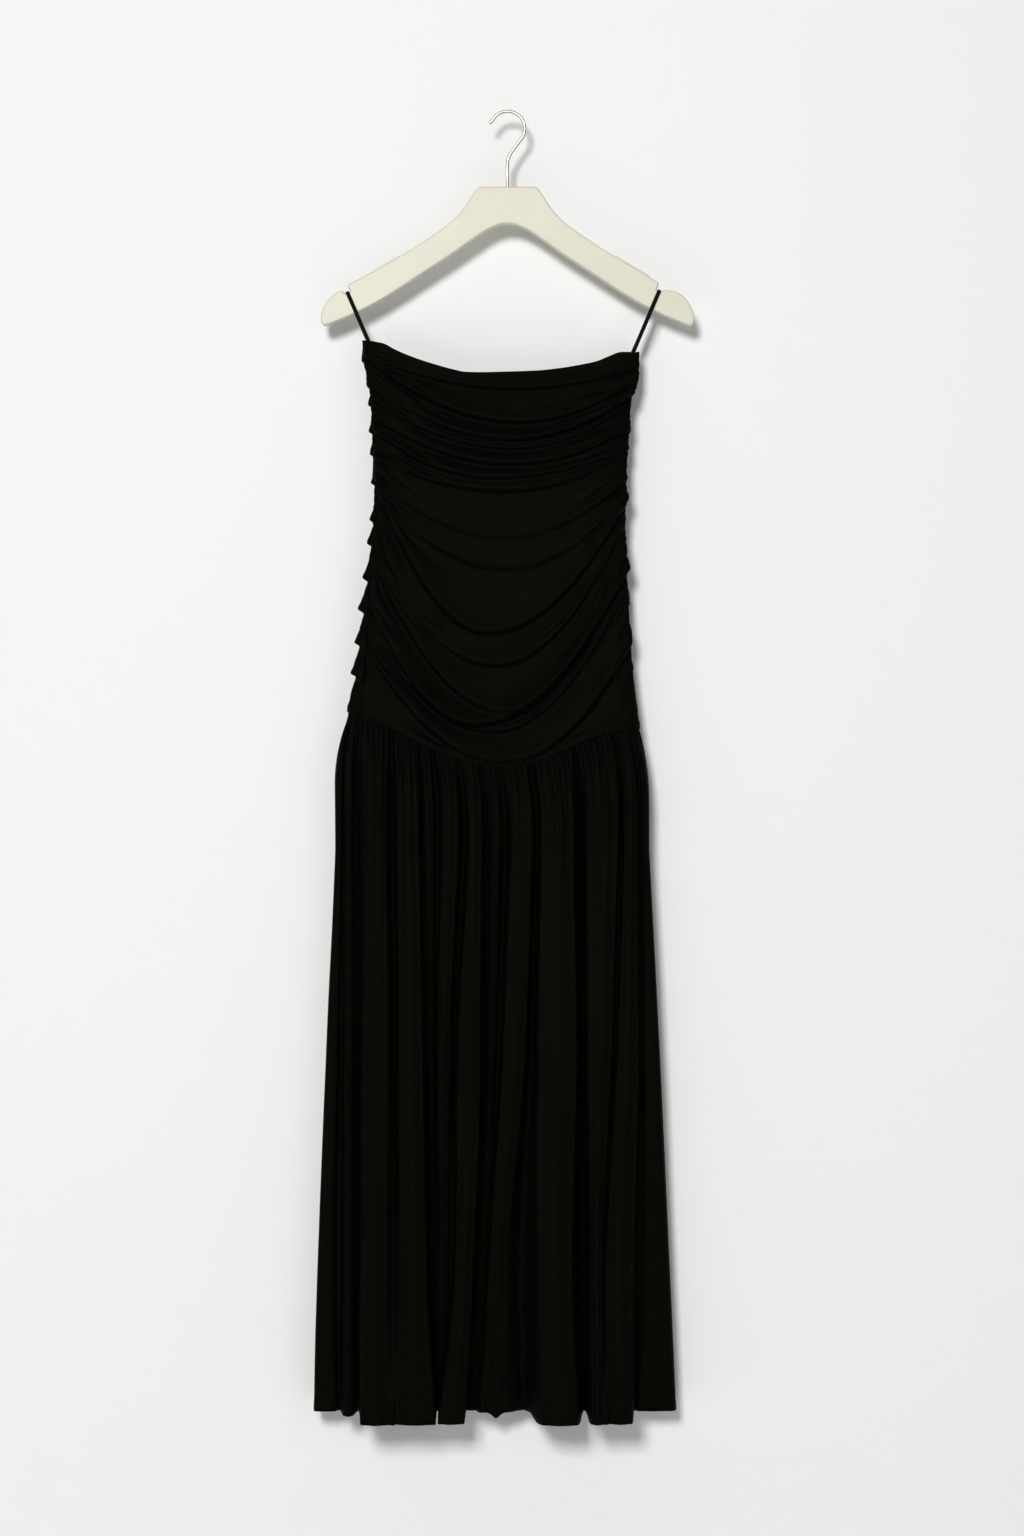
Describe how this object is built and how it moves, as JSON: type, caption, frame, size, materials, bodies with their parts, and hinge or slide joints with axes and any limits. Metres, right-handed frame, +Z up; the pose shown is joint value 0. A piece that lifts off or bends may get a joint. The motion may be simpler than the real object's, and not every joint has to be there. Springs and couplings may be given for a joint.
{
  "type": "dropped waist dress on a hanger",
  "caption": "Long strapless dress with a ruched bodice and a gathered skirt from a dropped waist, hung by tape loops on a flat hanger with a wire hook.",
  "frame": {"origin": "the underside of the hook's crown, where it hangs on a rail", "axes": "+Z up, -Y towards the front of the dress, +X towards the right side of the picture"},
  "size_m": [0.439, 0.092, 1.5078],
  "materials": {
    "jersey": "fine stretch jersey with a faint sheen, near black",
    "tape": "narrow woven tape",
    "paint": "cream satin paint",
    "wire": "bright nickel",
    "grip": "cream soft ribbed strip"
  },
  "bodies": {
    "root": {"bodice_front": "jersey", "bodice_back": "jersey", "skirt_front": "jersey", "skirt_back": "jersey", "loop_left": "tape", "loop_right": "tape", "hanger_body": "paint", "hanger_hook": "wire", "grip_left": "grip", "grip_right": "grip"}
  },
  "joints": []
}
